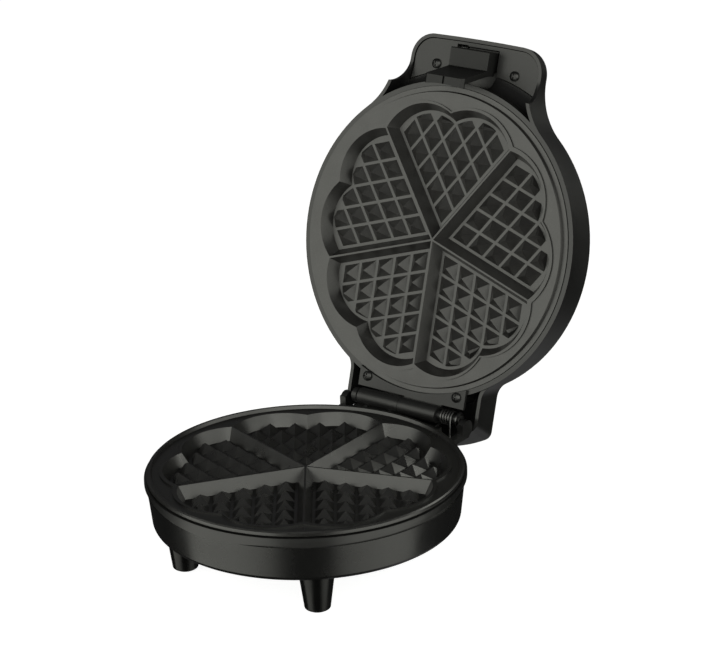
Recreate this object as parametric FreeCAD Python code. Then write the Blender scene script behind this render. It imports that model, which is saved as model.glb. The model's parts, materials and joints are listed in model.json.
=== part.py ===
"""Round heart waffle maker, modelled piece by piece with its lid swung open.

Millimetres, +Z up, the front towards -Y and the hinge towards +Y. Pieces are first placed about the axis
of the round base with the lid shut. The lid is then turned open, and everything is moved so that the origin
lies under the middle of the whole part.
"""

import FreeCAD
import Part
import math
import os

from FreeCAD import Vector

# Heights of the base, stacked upwards from the table
FOOT_HEIGHT = 27.0
PAN_HEIGHT = 23.4
GROOVE_HEIGHT = 4.1
RING_FLANGE = 2.9
RIM_GAP = 0.8
PLATE_EDGE = 0.8
LIP_RISE = 1.0
RIM_RISE = 1.0

# Cooking plates, whose radius drives the round housings
PLATE_R = 100.0
RIM_WIDTH = 2.6
RIM_SLOPE = 0.8
LAND_INSET = 3.4
FLANGE_WIDTH = 6.0
PLATE_FLOOR = 4.0
BODY_CHAMFER = 1.5
UPPER_OVERLAP = 0.5
UPPER_STEP = 3.4
UPPER_EDGE = 2.1
PLATE_GAP = 1.0

# Base housing, as insets from the plate outwards
RING_OVERLAP = 1.6
PAN_INSET = 1.7
PAN_DRAFT = 2.6
PAN_CORNER_R = 3.0
PAN_WALL = 1.5
NECK_INSET = 2.7
SEAT_INSET = 3.0
BODY_CLEAR = 1.5
RING_SPIGOT = 5.0
CATCH_HALF_WIDTH = 58.0
CATCH_CLEAR = 0.3

# Heart pockets
HEARTS = 5
RIB_TOP = 1.2
WALL_RUN = 4.0
LOBE_RUN = 4.5
POCKET_DEPTH = 8.0
LOBE_R = 34.8
LOBE_ASIDE = 16.4
LOBE_MARGIN = 4.6
LIP_WIDTH = 2.0
GRID_PITCH = 13.8
VALLEY = 2.0
PYRAMID_HEIGHT = 5.5
PYRAMID_CUT_RUN = 1.6
PYRAMID_SINK = 0.7
PYRAMID_LEAST_SHARE = 0.04

# Heating parts under each plate
ELEMENT_INSET = 39.0
ELEMENT_TUBE_R = 3.25
ELEMENT_SINK = 1.6
ELEMENT_GAP_DEG = 40.0
ELEMENT_LEG = 9.0
TERMINAL_R = 1.6
TERMINAL_LENGTH = 3.0
REFLECTOR_INSET = 6.0
REFLECTOR_SHEET = 0.8
REFLECTOR_DROP = 8.0
REFLECTOR_UPSTAND = 3.0
REFLECTOR_HOLE_R = 18.0
POST_INSET = 22.0
POST_R = 4.0
POST_SHOULDER_R = 5.5
POSTS = 3
SPACER_R = 6.0
THERMOSTAT_R = 8.0
THERMOSTAT_HEIGHT = 9.0
THERMOSTAT_FLANGE = 1.0
THERMOSTAT_SCREW_X = 12.0
THERMOSTAT_SCREW = 3.0
BLADE = (4.0, 0.8, 4.0)
FUSE_R = 2.0
FUSE_LENGTH = 16.0
FUSE_LEAD_R = 0.6
FUSE_LEAD = 8.0
FUSE_Y = -35.0
TERMINAL_BLOCK = (12.0, 32.0, 8.0)
TERMINAL_BLOCK_INSET = 37.3
TERMINAL_WAY_R = 2.0

# Feet
FOOT_TOP_R = 11.5
FOOT_BOTTOM_R = 8.2
FOOT_ROUND = 1.6
FOOT_SCREW = 14.0
FRONT_FOOT_INSET = 18.2
FRONT_FOOT_DEG = -49.1
REAR_FOOT_INSET = 14.8
REAR_FOOT_DEG = 73.0
PAD_R = 6.0
PAD_HEIGHT = 2.0
PAD_PROUD = 0.6

# Cord inlet in the wall of the pan, and the vents in its floor
INLET_ANGLE_DEG = 140.0
INLET_BORE_R = 3.6
INLET_NECK_R = 5.2
INLET_FLANGE_R = 7.0
INLET_FLANGE = 2.0
VENTS = 12
VENT_R = 28.0
VENT_LENGTH = 24.0
VENT_WIDTH = 2.6

# Hinge, from the cheeks at its ends inwards
HINGE_REACH = 10.0
HINGE_RISE = 1.2
BARREL_R = 5.65
PIN_R = 3.0
PIN_HEAD_R = 4.8
PIN_HEAD = 3.6
PIN_HEAD_GAP = 1.4
PIN_LEFT_CLEAR = 2.7
PIN_RIGHT_CLEAR = 1.7
BARREL_SPLIT_X = -4.5
STRAP = 2.0
EAR_OUTER_X = 49.2
EAR_WIDTH = 4.5
EAR_RISE = 2.0
PLATFORM_REST = 5.0
PLATFORM_HEIGHT = 4.0
PLATFORM_REACH = 3.6
STRAP_DEPTH = 8.4
STRAP_SCREW_INSET = 5.6
STRAP_SCREW_END = 6.8
CLIP = 1.0
CLIP_R = 5.0
BOSS_R = 4.5
BOSS_SCREW = 12.0
HINGE_PLATE_INSET = 7.2
HINGE_PLATE = 2.0
HINGE_PLATE_DEPTH = 7.0
HINGE_SCREW_INSET = 13.6
HINGE_SCREW_END = 6.5
OPEN_ANGLE_DEG = 106.6

# Hinge spring
SPRING_WIRE_R = 0.65
SPRING_R = 4.4
SPRING_PITCH = 2.0
SPRING_TURNS = 4.7
SPRING_START_DEG = -85.0
SPRING_SHORT_LEG = 8.0
SPRING_LONG_LEG = 14.0
SPRING_LEFT_GAP = 3.0
SPRING_RIGHT_GAP = 5.6

# Lid shell
LID_RIM_RISE = 4.0
LID_DEPTH = 27.6
LID_RIM_WIDTH = 3.5
LID_DRAFT = 2.2
LID_WALL = 2.4
LID_BACK_ROUND = 3.5
LEDGE_WIDTH = 2.5
DRUM_LEDGE = 2.5
LID_WEB = 2.4
COVER_INSET = 7.1
COVER_SHEET = 1.5
COVER_DOME = 5.5
COVER_EDGE = 1.6
COVER_SINK = 0.7

# Handle at the front of the lid, which narrows towards the back
HANDLE_HALF = 52.4
HANDLE_SIDE_DRAFT = 2.4
HANDLE_LENGTH = 30.5
HANDLE_END_DRAFT = 2.7
HANDLE_CORNER_R = 17.0
HANDLE_BOW_R = 1200.0
HANDLE_FLARE_R = 45.0
HANDLE_THICK = 10.9
HANDLE_SWEEP_INSET = 6.0
HANDLE_COVER = 1.8
HANDLE_COVER_SINK = 0.9
HANDLE_SCREW_X = 30.5
HANDLE_SCREW_REACH = 9.0
HANDLE_SCREW = 4.5
COLLAR_REACH = 9.0
COLLAR_START = 2.0
COLLAR_WALL = 1.6
COLLAR_SINK = 1.0

# Bulge behind the lid that hides the hinge
BULGE_SIDE_CLEAR = 0.8
BULGE_SIDE_DRAFT = 2.9
BULGE_REACH = 19.4
BULGE_END_DRAFT = 7.5
BULGE_BOW_R = 95.0
BULGE_CORNER_R = 7.0
BULGE_FLARE_R = 12.0
BULGE_RIM_LIFT = 1.5

# Latch on the handle
LATCH_HALF = 15.0
LATCH_REACH = 22.0
LATCH_DEPTH = 12.5
LATCH_DROP = 9.7
LATCH_SHELF = 3.0
LATCH_SHELF_REACH = 5.4
LATCH_PLAY = 1.5
LATCH_ROUND = 0.8
HOOK_HEIGHT = 3.2
HOOK_CLEAR = 0.4
HOOK_DROP = 1.2
HOOK_BEVEL = 2.0
HOOK_GROOVE = 1.4
LATCH_PIN_R = 1.5
LATCH_BARREL_R = 2.7
LATCH_BARREL_LEFT_X = -8.0
LATCH_LUG = 3.0
LATCH_SPRING_WIRE_R = 0.4
LATCH_SPRING_R = 2.15
LATCH_SPRING_PITCH = 1.3
LATCH_SPRING_TURNS = 4.43
LATCH_SPRING_LEG = 5.0

# Fits and small parts
RUNNING_FIT = 0.05
LOOSE_FIT = 0.3
EASY_FIT = 0.5
SCREW_R = 1.75
SCREW_HEAD_R = 3.3
SCREW_HEAD = 1.9
CROSS_WIDTH = 0.9
CROSS_DEPTH = 1.0
LENS_R = 2.5
LENS_PROUD = 1.2
LENS_X = 10.0
LENS_Y = -60.0
LAMP_HOLDER = 2.2

# Radii worked out from the plate's
LAND_R = PLATE_R - LAND_INSET
BODY_R = PLATE_R - FLANGE_WIDTH
RING_R = PLATE_R + RING_OVERLAP
RING_NECK_R = RING_R - NECK_INSET
RING_SEAT_R = PLATE_R - SEAT_INSET
RING_BORE_R = BODY_R + BODY_CLEAR
PAN_TOP_R = RING_R - PAN_INSET
PAN_BOTTOM_R = PAN_TOP_R - PAN_DRAFT
UPPER_EDGE_R = PLATE_R + UPPER_OVERLAP
LID_RIM_R = UPPER_EDGE_R + LID_RIM_WIDTH
LID_BACK_R = LID_RIM_R - LID_DRAFT
DRUM_BORE_R = LID_BACK_R - LID_WALL
DRUM_LEDGE_R = UPPER_EDGE_R - LEDGE_WIDTH
COVER_R = LID_BACK_R - COVER_INSET
ELEMENT_R = BODY_R - ELEMENT_INSET
REFLECTOR_R = BODY_R - REFLECTOR_INSET
POST_CIRCLE_R = BODY_R - POST_INSET
TERMINAL_BLOCK_R = PAN_BOTTOM_R - TERMINAL_BLOCK_INSET
LOBE_OUT = math.sqrt((LAND_R - LOBE_MARGIN - LIP_WIDTH - LOBE_R) ** 2 - LOBE_ASIDE ** 2)

# Places along the part, worked out from those radii
HINGE_Y = RING_R + HINGE_REACH
STRAP_FRONT = HINGE_Y - STRAP_DEPTH
STRAP_SCREW_Y = HINGE_Y - STRAP_SCREW_INSET
HINGE_SCREW_Y = HINGE_Y - HINGE_SCREW_INSET
BULGE_RIM_REAR = HINGE_Y + BULGE_REACH
BULGE_BACK_REAR = BULGE_RIM_REAR + BULGE_END_DRAFT
HANDLE_RIM_FRONT = LID_RIM_R + HANDLE_LENGTH
HANDLE_BACK_FRONT = HANDLE_RIM_FRONT - HANDLE_END_DRAFT
HANDLE_SWEEP_Y = HANDLE_SWEEP_INSET - LID_RIM_R
HANDLE_SCREW_Y = -LID_RIM_R - HANDLE_SCREW_REACH
LATCH_Y = -LID_RIM_R - LATCH_REACH
LATCH_INNER_Y = LATCH_Y + LATCH_DEPTH
LATCH_SHELF_Y = -RING_R - LATCH_SHELF_REACH

# Places across the part, worked out from the hinge's cheeks
PIN_RIGHT_X = EAR_OUTER_X - EAR_WIDTH - PIN_RIGHT_CLEAR
PIN_LEFT_X = PIN_LEFT_CLEAR + EAR_WIDTH - EAR_OUTER_X
BASE_BARREL_LEFT_X = PIN_LEFT_X + PIN_HEAD + PIN_HEAD_GAP
SPRING_LEFT_X = PIN_RIGHT_X - SPRING_RIGHT_GAP - SPRING_PITCH * SPRING_TURNS
LID_BARREL_RIGHT_X = SPRING_LEFT_X - SPRING_LEFT_GAP
PLATFORM_RIGHT_X = LID_BARREL_RIGHT_X + PLATFORM_REST
STRAP_SCREW_X = (BASE_BARREL_LEFT_X + STRAP_SCREW_END, BARREL_SPLIT_X - STRAP_SCREW_END)
HINGE_PLATE_HALF = EAR_OUTER_X - HINGE_PLATE_INSET
HINGE_SCREW_X = HINGE_PLATE_HALF - HINGE_SCREW_END
BULGE_HALF = EAR_OUTER_X + BULGE_SIDE_CLEAR + LID_WALL

# Levels worked out from the stack, measured from the table
PAN_TOP = FOOT_HEIGHT + PAN_HEIGHT
PAN_FLOOR = FOOT_HEIGHT + PAN_WALL
FLANGE_BOTTOM = PAN_TOP + GROOVE_HEIGHT
FLANGE_TOP = FLANGE_BOTTOM + RING_FLANGE
PLATE_SEAT = FLANGE_TOP + RIM_GAP
RIDGE_Z = PLATE_SEAT + PLATE_EDGE + LIP_RISE
UPPER_RIDGE_Z = RIDGE_Z + PLATE_GAP
HINGE_Z = RIDGE_Z + HINGE_RISE
LID_RIM = UPPER_RIDGE_Z + LID_RIM_RISE
LID_BACK = LID_RIM + LID_DEPTH
UPPER_SEAT = UPPER_RIDGE_Z + UPPER_STEP + UPPER_EDGE
WEB_TOP = LID_BACK - COVER_EDGE - COVER_SINK
WEB_BOTTOM = WEB_TOP - LID_WEB
HANDLE_RIM = LID_BACK - HANDLE_THICK
HANDLE_FLOOR = LID_BACK - LID_WALL
HANDLE_COVER_BOTTOM = HANDLE_RIM + HANDLE_COVER_SINK
HANDLE_COVER_TOP = HANDLE_COVER_BOTTOM + HANDLE_COVER
PLATFORM_TOP = HINGE_Z - BARREL_R - EASY_FIT
LATCH_Z = HANDLE_FLOOR - LATCH_BARREL_R - LOOSE_FIT
PLATE_BOTTOM = -POCKET_DEPTH - PLATE_FLOOR
REFLECTOR_TOP = PLATE_BOTTOM - REFLECTOR_DROP
LOWER_POST = REFLECTOR_TOP - (PAN_FLOOR - RIDGE_Z) - EASY_FIT
UPPER_POST = REFLECTOR_TOP - (UPPER_RIDGE_Z - WEB_BOTTOM) - EASY_FIT
PLATE_SCREW = PAN_WALL + LOWER_POST - EASY_FIT
INLET_Z = PAN_TOP - RING_SPIGOT - EASY_FIT - INLET_FLANGE_R
HALF_SECTOR = math.pi / HEARTS
X_AXIS = Vector(1, 0, 0)
Z_AXIS = Vector(0, 0, 1)
DOWN = Vector(0, 0, -1)
ORIGIN = Vector(0, 0, 0)


def box(x, y, z):
    """A block between two values on each axis."""
    size = [high - low for low, high in (x, y, z)]
    return Part.makeBox(*size, Vector(x[0], y[0], z[0]))


def disc(radius, low, high, x=0.0, y=0.0):
    """An upright cylinder between two heights."""
    return Part.makeCylinder(radius, high - low, Vector(x, y, low))


def rod(radius, left, right, y, z):
    """A cylinder along X."""
    return Part.makeCylinder(radius, right - left, Vector(left, y, z), X_AXIS)


def turned(points):
    """A solid of revolution about Z from an outline of radius and height pairs."""
    outline = [Vector(r, 0, z) for r, z in points]
    face = Part.Face(Part.makePolygon(outline + outline[:1]))
    return face.revolve(ORIGIN, Z_AXIS, 360)


def line(a, b):
    return Part.LineSegment(a, b).toShape()


def arc(a, middle, b):
    return Part.Arc(a, middle, b).toShape()


def arc_about(centre, a, b):
    """The short arc from a to b about a centre."""
    radius = a.sub(centre).Length
    halfway = a.sub(centre).add(b.sub(centre))
    halfway.normalize()
    return arc(a, centre.add(halfway.multiply(radius)), b)


def around(shape, count, start_deg=0.0):
    """Copies of a shape spaced evenly about Z."""
    copies = []
    for i in range(count):
        copy = shape.copy()
        copy.rotate(ORIGIN, Z_AXIS, start_deg + 360.0 * i / count)
        copies.append(copy)
    return copies


def screw(place, direction, length, head_r=SCREW_HEAD_R, shank_r=SCREW_R):
    """A round-headed cross screw. The head sits on place and the shank runs along direction."""
    edge = 0.45 * SCREW_HEAD
    head = [Vector(0, 0, 0), Vector(head_r, 0, 0), Vector(head_r, 0, -edge), Vector(0, 0, -SCREW_HEAD)]
    shoulder = Vector(0.62 * head_r, 0, -0.87 * SCREW_HEAD)
    outline = Part.Wire([line(head[0], head[1]), line(head[1], head[2]),
                         arc(head[2], shoulder, head[3]), line(head[3], head[0])])
    solid = Part.Face(outline).revolve(ORIGIN, Z_AXIS, 360)
    solid = solid.fuse(disc(shank_r, 0, length))
    reach = 0.6 * head_r
    depth = (-SCREW_HEAD - CROSS_DEPTH, -SCREW_HEAD + CROSS_DEPTH)
    slim = (-CROSS_WIDTH / 2, CROSS_WIDTH / 2)
    solid = solid.cut([box((-reach, reach), slim, depth), box(slim, (-reach, reach), depth)])
    solid.Placement = FreeCAD.Placement(place, FreeCAD.Rotation(Z_AXIS, direction))
    return solid


# Heart pockets of the cooking plates, with the ridge level at zero and the metal below it
def heart_corner(half_rib, lobe_r):
    """Tip, side end and notch of a heart outline whose axis is +Y."""
    along = Vector(math.sin(HALF_SECTOR), math.cos(HALF_SECTOR), 0)
    inward = Vector(-along.y, along.x, 0)
    centre = Vector(LOBE_ASIDE, LOBE_OUT, 0)
    tip = Vector(0, half_rib / math.sin(HALF_SECTOR), 0)
    offset = inward.dot(centre) - half_rib
    reach = along.dot(centre) + math.sqrt(lobe_r ** 2 - offset ** 2)
    side = along * reach + inward * half_rib
    notch = Vector(0, LOBE_OUT + math.sqrt(lobe_r ** 2 - LOBE_ASIDE ** 2), 0)
    return tip, side, notch


def heart_wire(half_rib, lobe_r, z):
    """The outline of one heart at a height: two straight sides and two round lobes."""
    tip, side, notch = heart_corner(half_rib, lobe_r)
    centre = Vector(LOBE_ASIDE, LOBE_OUT, 0)
    other = Vector(-side.x, side.y, 0)
    other_centre = Vector(-LOBE_ASIDE, LOBE_OUT, 0)
    wire = Part.Wire([line(tip, side), arc_about(centre, side, notch),
                      arc_about(other_centre, notch, other), line(other, tip)])
    wire.translate(Vector(0, 0, z))
    return wire


def pocket_wire(z):
    """The outline of one pocket at a height, between its sloping walls."""
    share = -z / POCKET_DEPTH
    return heart_wire(RIB_TOP / 2 + share * WALL_RUN, LOBE_R - share * LOBE_RUN, z)


def pyramid(corners, apex):
    """A pyramid on a four-sided base."""
    faces = [Part.Face(Part.makePolygon(corners + corners[:1]))]
    for i in range(4):
        faces.append(Part.Face(Part.makePolygon([corners[i], corners[(i + 1) % 4], apex, corners[i]])))
    return Part.Solid(Part.Shell(faces))


def pyramid_bounds():
    """The space that the pyramids of one heart may fill: a flat strip inside the lobes stays free."""
    lobe = LOBE_R - LOBE_RUN - VALLEY
    below = PYRAMID_CUT_RUN * PYRAMID_SINK / PYRAMID_HEIGHT
    half_rib = RIB_TOP / 2 + WALL_RUN
    foot_wire = heart_wire(half_rib, lobe + below, -POCKET_DEPTH - PYRAMID_SINK)
    tip_wire = heart_wire(half_rib, lobe - PYRAMID_CUT_RUN, PYRAMID_HEIGHT - POCKET_DEPTH)
    return Part.makeLoft([foot_wire, tip_wire], True, True)


def heart_pyramids():
    """The rhombic field of pyramids on one pocket floor, trimmed to the lobes and sunk into the floor."""
    floor = -POCKET_DEPTH
    grow = 1 + PYRAMID_SINK / PYRAMID_HEIGHT
    tip, side, _ = heart_corner(RIB_TOP / 2 + WALL_RUN + VALLEY / 2, LOBE_R - LOBE_RUN - VALLEY)
    right = Vector(math.sin(HALF_SECTOR), math.cos(HALF_SECTOR), 0)
    left = Vector(-right.x, right.y, 0)
    half = (GRID_PITCH - VALLEY) / 2
    cells = round(side.sub(tip).Length / GRID_PITCH)
    bounds = pyramid_bounds()
    field = []
    for i in range(cells):
        for j in range(cells):
            middle = tip + right * (GRID_PITCH * (i + 0.5)) + left * (GRID_PITCH * (j + 0.5))
            signs = ((-1, -1), (1, -1), (1, 1), (-1, 1))
            corners = [middle + (right * a + left * b) * (half * grow) for a, b in signs]
            corners = [c + Vector(0, 0, floor - PYRAMID_SINK) for c in corners]
            whole = pyramid(corners, middle + Vector(0, 0, floor + PYRAMID_HEIGHT))
            kept = whole.common(bounds)
            if kept.Volume > PYRAMID_LEAST_SHARE * whole.Volume:
                field.append(kept)
    return field


def pocket_tool():
    """The air of one pocket: a drafted heart with the pyramids taken out of it."""
    above = RIM_SLOPE
    air = Part.makeLoft([pocket_wire(above), pocket_wire(-POCKET_DEPTH)], True, True)
    return air.cut(heart_pyramids())


def flower_pad():
    """The raised pad round the five hearts, whose edge stands a lip above the land."""
    _, side, notch = heart_corner(0.0, LOBE_R + LIP_WIDTH)
    edges = []
    for k in range(HEARTS):
        turn = FreeCAD.Rotation(Z_AXIS, 360.0 * k / HEARTS)
        for sign in (1, -1):
            centre = turn.multVec(Vector(sign * LOBE_ASIDE, LOBE_OUT, 0))
            end = turn.multVec(Vector(sign * side.x, side.y, 0))
            edges.append(arc_about(centre, end, turn.multVec(notch)))
    pad = Part.Face(Part.Wire(Part.__sortEdges__(edges))).extrude(Vector(0, 0, 2 * LIP_RISE))
    pad.translate(Vector(0, 0, -2 * LIP_RISE))
    return pad


def cooking_plate(edge, post_length):
    """One cast plate with heart relief, element groove and posts. The edge is a list of corners."""
    land = -LIP_RISE
    under = [(0, PLATE_BOTTOM), (BODY_R - BODY_CHAMFER, PLATE_BOTTOM), (BODY_R, PLATE_BOTTOM + BODY_CHAMFER)]
    blank = turned(under + edge + [(0, land)])
    solid = blank.fuse(flower_pad())
    solid = solid.cut(around(pocket_tool(), HEARTS, 180.0))
    element = Vector(0, 0, PLATE_BOTTOM - ELEMENT_SINK)
    solid = solid.cut(Part.makeTorus(ELEMENT_R, ELEMENT_TUBE_R + LOOSE_FIT / 2, element))
    shoulder = disc(POST_SHOULDER_R, REFLECTOR_TOP, PLATE_BOTTOM + PLATE_FLOOR / 2, POST_CIRCLE_R)
    post = disc(POST_R, REFLECTOR_TOP - post_length, REFLECTOR_TOP, POST_CIRCLE_R)
    solid = solid.fuse(around(shoulder.fuse(post), POSTS, 90.0))
    pilot = disc(SCREW_R + RUNNING_FIT, REFLECTOR_TOP - post_length, REFLECTOR_TOP, POST_CIRCLE_R)
    drill, socket_top = SCREW_R + RUNNING_FIT, PLATE_BOTTOM + THERMOSTAT_SCREW
    sockets = [disc(drill, PLATE_BOTTOM, socket_top, side * THERMOSTAT_SCREW_X) for side in (-1, 1)]
    return solid.cut(around(pilot, POSTS, 90.0) + sockets).removeSplitter()


def lower_edge():
    """Corners of the base plate's edge: a flange on the ring and a raised rim round the land."""
    seat = PLATE_SEAT - RIDGE_Z
    rim_inner = PLATE_R - RIM_WIDTH
    return [(BODY_R, seat), (PLATE_R, seat), (PLATE_R, RIM_RISE - RIM_SLOPE),
            (PLATE_R - RIM_SLOPE, RIM_RISE), (rim_inner, RIM_RISE), (rim_inner - RIM_SLOPE, -LIP_RISE)]


def upper_edge():
    """Corners of the lid plate's edge, which steps back to clear the rim of the base plate."""
    face = -UPPER_STEP
    seat = face - UPPER_EDGE
    return [(BODY_R, seat), (UPPER_EDGE_R, seat), (UPPER_EDGE_R, face),
            (LAND_R + RIM_SLOPE, face), (LAND_R, -LIP_RISE)]


def heating_element():
    """A sheathed heating rod bent to an open ring, with both ends turned away from the plate."""
    middle = PLATE_BOTTOM - ELEMENT_SINK
    circle = Part.Wire(Part.makeCircle(ELEMENT_TUBE_R, Vector(ELEMENT_R, 0, middle), Vector(0, 1, 0)))
    ring = Part.Face(circle).revolve(ORIGIN, Z_AXIS, 360.0 - ELEMENT_GAP_DEG)
    ring.rotate(ORIGIN, Z_AXIS, 90.0 + ELEMENT_GAP_DEG / 2)
    pieces = []
    for side in (-1, 1):
        angle = math.radians(90.0 + side * ELEMENT_GAP_DEG / 2)
        x, y = ELEMENT_R * math.cos(angle), ELEMENT_R * math.sin(angle)
        end = middle - ELEMENT_LEG
        pieces.append(Part.makeSphere(ELEMENT_TUBE_R, Vector(x, y, middle)))
        pieces.append(disc(ELEMENT_TUBE_R, end, middle, x, y))
        pieces.append(disc(TERMINAL_R, end - TERMINAL_LENGTH, end, x, y))
    return ring.fuse(pieces)


def reflector():
    """The thin heat shield below the element, holed for the posts, the thermostat and the element's ends."""
    low = REFLECTOR_TOP - REFLECTOR_SHEET
    sheet = disc(REFLECTOR_R, low, REFLECTOR_TOP)
    high = REFLECTOR_TOP + REFLECTOR_UPSTAND
    upstand = disc(REFLECTOR_R, REFLECTOR_TOP, high)
    sheet = sheet.fuse(upstand.cut(disc(REFLECTOR_R - REFLECTOR_SHEET, REFLECTOR_TOP, high)))
    holes = around(disc(POST_R + LOOSE_FIT, low, REFLECTOR_TOP, POST_CIRCLE_R), POSTS, 90.0)
    holes.append(disc(REFLECTOR_HOLE_R, low, REFLECTOR_TOP))
    for side in (-1, 1):
        angle = math.radians(90.0 + side * ELEMENT_GAP_DEG / 2)
        x, y = ELEMENT_R * math.cos(angle), ELEMENT_R * math.sin(angle)
        holes.append(disc(ELEMENT_TUBE_R + EASY_FIT, low, REFLECTOR_TOP, x, y))
    return sheet.cut(holes)


def spacers(housing):
    """Sleeves that clamp the reflector between the posts and the housing, whose level is given."""
    top = REFLECTOR_TOP - REFLECTOR_SHEET
    sleeve = disc(SPACER_R, housing, top, POST_CIRCLE_R)
    sleeve = sleeve.cut(disc(POST_R + LOOSE_FIT, housing, top, POST_CIRCLE_R))
    return around(sleeve, POSTS, 90.0)


def in_lid(shape):
    """Turns a piece made for the base plate's side over, into its place in the shut lid."""
    flipped = shape.mirror(ORIGIN, Z_AXIS)
    flipped.translate(Vector(0, 0, UPPER_RIDGE_Z))
    return flipped


def in_base(shape):
    lifted = shape.copy()
    lifted.translate(Vector(0, 0, RIDGE_Z))
    return lifted


def thermostat():
    """A snap thermostat held flat against the plate, with two blade terminals."""
    under = PLATE_BOTTOM - THERMOSTAT_FLANGE
    reach = THERMOSTAT_SCREW_X + SCREW_HEAD_R
    flange = box((-reach, reach), (-SCREW_HEAD_R, SCREW_HEAD_R), (under, PLATE_BOTTOM))
    end = PLATE_BOTTOM - THERMOSTAT_HEIGHT
    body = disc(THERMOSTAT_R, end, PLATE_BOTTOM)
    width, sheet, length = BLADE
    blades = [box((x - width / 2, x + width / 2), (-sheet / 2, sheet / 2), (end - length, end))
              for x in (-THERMOSTAT_R / 2, THERMOSTAT_R / 2)]
    holes = [disc(SCREW_R + RUNNING_FIT, under, PLATE_BOTTOM, side * THERMOSTAT_SCREW_X) for side in (-1, 1)]
    return flange.fuse([body] + blades).cut(holes)


def thermostat_screws():
    under = PLATE_BOTTOM - THERMOSTAT_FLANGE
    length = THERMOSTAT_FLANGE + THERMOSTAT_SCREW - LOOSE_FIT
    return [screw(Vector(side * THERMOSTAT_SCREW_X, 0, under), Z_AXIS, length) for side in (-1, 1)]


def thermal_fuse():
    """A one-shot fuse lying on the reflector, with a thin lead at each end."""
    z = REFLECTOR_TOP + FUSE_R + RUNNING_FIT
    half = FUSE_LENGTH / 2
    leads = rod(FUSE_LEAD_R, -half - FUSE_LEAD, half + FUSE_LEAD, FUSE_Y, z)
    return rod(FUSE_R, -half, half, FUSE_Y, z).fuse(leads)


# Base housing
def foot_places():
    """Name and place of each foot, on circles inside the foot of the pan's wall."""
    rows = (("front", FRONT_FOOT_INSET, FRONT_FOOT_DEG), ("rear", REAR_FOOT_INSET, REAR_FOOT_DEG))
    places = {}
    for row, inset, angle in rows:
        radius = PAN_BOTTOM_R - inset
        x, y = radius * math.cos(math.radians(angle)), radius * math.sin(math.radians(angle))
        places["foot_%s_left" % row] = (-x, y)
        places["foot_%s_right" % row] = (x, y)
    return places


def pan_radius(z):
    """Outer radius of the pan's wall at a height."""
    return PAN_BOTTOM_R + (PAN_TOP_R - PAN_BOTTOM_R) * (z - FOOT_HEIGHT) / PAN_HEIGHT


def pan_profile(inset):
    """Corners of the pan's outer or inner surface: floor, foot of the wall and top."""
    bend = FOOT_HEIGHT + PAN_CORNER_R
    return (Vector(0, 0, FOOT_HEIGHT + inset), Vector(PAN_BOTTOM_R - PAN_CORNER_R, 0, FOOT_HEIGHT + inset),
            Vector(pan_radius(bend) - inset, 0, bend), Vector(PAN_TOP_R - inset, 0, PAN_TOP))


def in_wall(shape):
    """Turns a piece made along +X to the cord inlet's place round the pan."""
    turned_shape = shape.copy()
    turned_shape.rotate(ORIGIN, Z_AXIS, INLET_ANGLE_DEG)
    return turned_shape


def base_pan():
    """The pressed pan: a dished sheet with drafted wall, vents, screw holes and the cord hole."""
    outer, inner = pan_profile(0.0), pan_profile(PAN_WALL)
    bend = Vector(PAN_BOTTOM_R - PAN_CORNER_R, 0, FOOT_HEIGHT + PAN_CORNER_R)
    outside = [line(outer[0], outer[1]), arc_about(bend, outer[1], outer[2]), line(outer[2], outer[3])]
    inside = [line(inner[3], inner[2]), arc_about(bend, inner[2], inner[1]), line(inner[1], inner[0])]
    outline = Part.Wire(outside + [line(outer[3], inner[3])] + inside + [line(inner[0], outer[0])])
    pan = Part.Face(outline).revolve(ORIGIN, Z_AXIS, 360)
    drill = SCREW_R + RUNNING_FIT
    holes = [disc(drill, FOOT_HEIGHT, PAN_FLOOR, x, y) for x, y in foot_places().values()]
    holes += around(disc(drill, FOOT_HEIGHT, PAN_FLOOR, POST_CIRCLE_R), POSTS, 90.0)
    holes += around(box((VENT_R, VENT_R + VENT_LENGTH), (-VENT_WIDTH / 2, VENT_WIDTH / 2),
                        (FOOT_HEIGHT, PAN_FLOOR)), VENTS, 15.0)
    holes.append(in_wall(disc(drill, FOOT_HEIGHT, PAN_FLOOR, TERMINAL_BLOCK_R)))
    wall = pan_radius(INLET_Z)
    holes.append(in_wall(Part.makeCylinder(INLET_NECK_R + RUNNING_FIT, 4 * PAN_WALL,
                                           Vector(wall - 3 * PAN_WALL, 0, INLET_Z), X_AXIS)))
    return pan.cut(holes)


def cord_inlet():
    """A grommet in the pan's wall: a neck between two flanges that follow the wall, bored for a cord."""
    wall = pan_radius(INLET_Z)
    outside = wall + INLET_FLANGE
    inside = wall - PAN_WALL - INLET_FLANGE
    barrel = Part.makeCylinder(INLET_FLANGE_R, outside - inside, Vector(inside, 0, INLET_Z), X_AXIS)
    gap = RUNNING_FIT
    low, high = FOOT_HEIGHT, PAN_TOP
    skin = turned([(pan_radius(low) - PAN_WALL - gap, low), (pan_radius(low) + gap, low),
                   (pan_radius(high) + gap, high), (pan_radius(high) - PAN_WALL - gap, high)])
    neck = Part.makeCylinder(INLET_NECK_R, outside - inside, Vector(inside, 0, INLET_Z), X_AXIS)
    bore = Part.makeCylinder(INLET_BORE_R, outside - inside, Vector(inside, 0, INLET_Z), X_AXIS)
    return in_wall(barrel.cut(skin).fuse(neck).cut(bore))


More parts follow.
